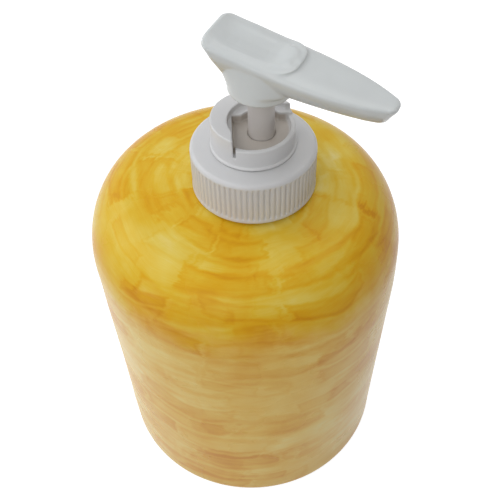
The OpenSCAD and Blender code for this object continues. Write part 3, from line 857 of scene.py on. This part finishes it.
def make_spring():
    """Round wire wound as a coil, with a close turn at each end."""
    lo, hi = node_box("return_spring")
    wire, turns, sides, per_turn = 0.4, 8, 12, 40
    coil_r = (hi.x - lo.x) / 2 - wire
    close = 2.1 * wire
    pitch = (hi.z - lo.z - 2 * wire - 2 * close) / (turns - 2)
    rings = []
    for i in range(turns * per_turn + 1):
        k = i / per_turn
        rise = close * (min(k, 1) + max(k - turns + 1, 0)) + pitch * min(max(k - 1, 0), turns - 2)
        ring = []
        for j in range(sides):
            b = TAU * j / sides
            r = coil_r + wire * math.cos(b)
            z = lo.z + wire + rise + wire * math.sin(b)
            ring.append((PUMP_X + r * math.cos(TAU * k), r * math.sin(TAU * k), z))
        rings.append(ring)
    verts, faces = ring_grid(rings)
    last = (len(rings) - 1) * sides
    faces.append(tuple(range(sides - 1, -1, -1)))
    faces.append(tuple(last + j for j in range(sides)))
    obj = add_object("spring_wound", verts, faces, "pump", STEEL)
    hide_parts("return_spring")
    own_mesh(obj)


make_bottle()
make_closure()
make_insert()
make_spring()
moulded("guide_collar", "collar_moulded", "pump", COLLAR_PAINTED_SHADE, 0.2, 3, raise_block)
calm_nose(moulded("actuator", "head_moulded", "head", HEAD_WHITE, 0.24, 7, draw_back))

for name, material in (
    ("neck_gasket", FOAM),
    ("pump_housing", NATURAL),
    ("dip_tube", TUBE),
    ("inlet_ball", STEEL),
    ("ball_retainer", WHITE),
    ("piston", NATURAL),
    ("piston_rod", WHITE),
    ("stem", STEM_GREY_SHADED),
    ("outlet_ball", STEEL),
):
    data = nodes[name].data
    data.materials.clear()
    data.materials.append(material)


# Floor, light and camera
CAMERA_TURN = math.radians(27)


def from_camera(x, y, z):
    """A place given in metres to the photo's right, away from it and up."""
    return Matrix.Rotation(CAMERA_TURN, 3, "Z") @ Vector((x, y, z))


def seen_ray(nt):
    """1 for rays from the camera and for those seen in gloss or through clear plastic."""
    path = nt.nodes.new("ShaderNodeLightPath")
    total = path.outputs["Is Camera Ray"]
    for name in ("Is Glossy Ray", "Is Transmission Ray"):
        n = nt.nodes.new("ShaderNodeMath")
        n.operation = "MAXIMUM"
        nt.links.new(total, n.inputs[0])
        nt.links.new(path.outputs[name], n.inputs[1])
        total = n.outputs[0]
    return total


FLOOR_GLOW = 0.86
FLOOR_SHADE = 0.4
FLOOR_HALF = 3.0
WORLD_STRENGTH = 0.72


def floor_material():
    """White to the camera with the object's soft shadow on it; a plain pale floor to the light."""
    t = Tree("floor_white")
    t.set(Base_Color=(0.45, 0.44, 0.43, 1), Roughness=0.9)
    nt = t.tree
    glow = nt.nodes.new("ShaderNodeEmission")
    glow.inputs["Color"].default_value = (1, 1, 1, 1)
    glow.inputs["Strength"].default_value = FLOOR_GLOW
    pale = nt.nodes.new("ShaderNodeBsdfDiffuse")
    pale.inputs["Color"].default_value = (FLOOR_SHADE, FLOOR_SHADE, FLOOR_SHADE, 1)
    add = nt.nodes.new("ShaderNodeAddShader")
    nt.links.new(glow.outputs[0], add.inputs[0])
    nt.links.new(pale.outputs[0], add.inputs[1])
    mix = nt.nodes.new("ShaderNodeMixShader")
    nt.links.new(seen_ray(nt), mix.inputs[0])
    nt.links.new(t.shader.outputs["BSDF"], mix.inputs[1])
    nt.links.new(add.outputs[0], mix.inputs[2])
    nt.links.new(mix.outputs[0], t.out.inputs["Surface"])
    return t.material


def make_floor():
    mesh = bpy.data.meshes.new("floor")
    s = FLOOR_HALF
    mesh.from_pydata([(-s, -s, 0), (s, -s, 0), (s, s, 0), (-s, s, 0)], [], [(0, 1, 2, 3)])
    floor = bpy.data.objects.new("floor", mesh)
    bpy.context.scene.collection.objects.link(floor)
    floor.data.materials.append(floor_material())


def make_world():
    world = bpy.data.worlds.new("studio")
    bpy.context.scene.world = world
    world.use_nodes = True
    nt = world.node_tree
    nt.nodes.clear()
    out = nt.nodes.new("ShaderNodeOutputWorld")
    lit = nt.nodes.new("ShaderNodeBackground")
    coords = nt.nodes.new("ShaderNodeTexCoord")
    facing = nt.nodes.new("ShaderNodeVectorMath")
    facing.operation = "DOT_PRODUCT"
    facing.inputs[1].default_value = from_camera(-0.5, -0.1, 0.86)
    height = nt.nodes.new("ShaderNodeMapRange")
    height.interpolation_type = "SMOOTHSTEP"
    height.inputs["From Min"].default_value = -0.35
    height.inputs["From Max"].default_value = 0.95
    ramp = nt.nodes.new("ShaderNodeValToRGB")
    ramp.color_ramp.elements[0].color = (0.12, 0.1, 0.085, 1)
    ramp.color_ramp.elements[1].color = (0.95, 0.97, 1.0, 1)
    nt.links.new(coords.outputs["Generated"], facing.inputs[0])
    nt.links.new(facing.outputs["Value"], height.inputs["Value"])
    nt.links.new(height.outputs["Result"], ramp.inputs["Fac"])
    nt.links.new(ramp.outputs["Color"], lit.inputs["Color"])
    lit.inputs["Strength"].default_value = WORLD_STRENGTH
    seen = nt.nodes.new("ShaderNodeBackground")
    seen.inputs["Color"].default_value = (1, 1, 1, 1)
    seen.inputs["Strength"].default_value = 1.0
    mix = nt.nodes.new("ShaderNodeMixShader")
    nt.links.new(seen_ray(nt), mix.inputs[0])
    nt.links.new(lit.outputs[0], mix.inputs[1])
    nt.links.new(seen.outputs[0], mix.inputs[2])
    nt.links.new(mix.outputs[0], out.inputs["Surface"])


TARGET = (0, 0, 0.08)


def area_light(name, place_at, size, power, colour):
    light = bpy.data.lights.new(name, "AREA")
    light.shape = "DISK"
    light.size = size
    light.energy = power
    light.color = colour
    obj = bpy.data.objects.new(name, light)
    bpy.context.scene.collection.objects.link(obj)
    obj.location = place_at
    obj.rotation_mode = "QUATERNION"
    obj.rotation_quaternion = (Vector(TARGET) - Vector(place_at)).to_track_quat("-Z", "Y")


CAMERA_PX = 750.0
CAMERA_D = 227.24
CAMERA_AIM_Z = 60
CAMERA_RISE = math.radians(51.07)
CAMERA_PAN = math.radians(-0.18)
CAMERA_TILT = math.radians(2.03)
CAMERA_ROLL = math.radians(2.0)


def camera_axes():
    """Position, in mm, and axes of the camera in the part's frame."""

    def turned(axis, angle, v):
        return Matrix.Rotation(angle, 3, axis) @ v

    c, s = math.cos(CAMERA_RISE), math.sin(CAMERA_RISE)
    at = Vector((0, -CAMERA_D * c, CAMERA_AIM_Z + CAMERA_D * s))
    ahead, right = Vector((0, c, -s)), Vector((1, 0, 0))
    up = right.cross(ahead)
    ahead, right = turned(up, CAMERA_PAN, ahead), turned(up, CAMERA_PAN, right)
    ahead, up = turned(right, CAMERA_TILT, ahead), turned(right, CAMERA_TILT, up)
    right, up = turned(ahead, CAMERA_ROLL, right), turned(ahead, CAMERA_ROLL, up)
    spin = Matrix.Rotation(CAMERA_TURN, 3, "Z")
    return spin @ at, spin @ ahead, spin @ right, spin @ up


def make_camera():
    at, ahead, right, up = camera_axes()
    data = bpy.data.cameras.new("camera")
    cam = bpy.data.objects.new("camera", data)
    bpy.context.scene.collection.objects.link(cam)
    data.sensor_width = 36.0
    data.lens = 36.0 * CAMERA_PX / 500.0
    data.clip_start, data.clip_end = 0.01, 20
    rows = [(right[i], up[i], -ahead[i], at[i] * MM) for i in range(3)]
    cam.matrix_world = Matrix((*rows, (0, 0, 0, 1)))
    bpy.context.scene.camera = cam


make_floor()
make_world()
make_camera()

area_light("window", from_camera(-0.95, 0.3, 0.9), 1.2, 4.5, (0.98, 0.98, 1.0))
area_light("far_side", from_camera(0.5, 0.4, 1.3), 1.0, 2.3, (1.0, 0.98, 0.96))
area_light("room", from_camera(-0.4, -0.95, 0.7), 0.8, 2.6, (1.0, 0.98, 0.96))

bpy.context.scene.view_settings.view_transform = "Standard"
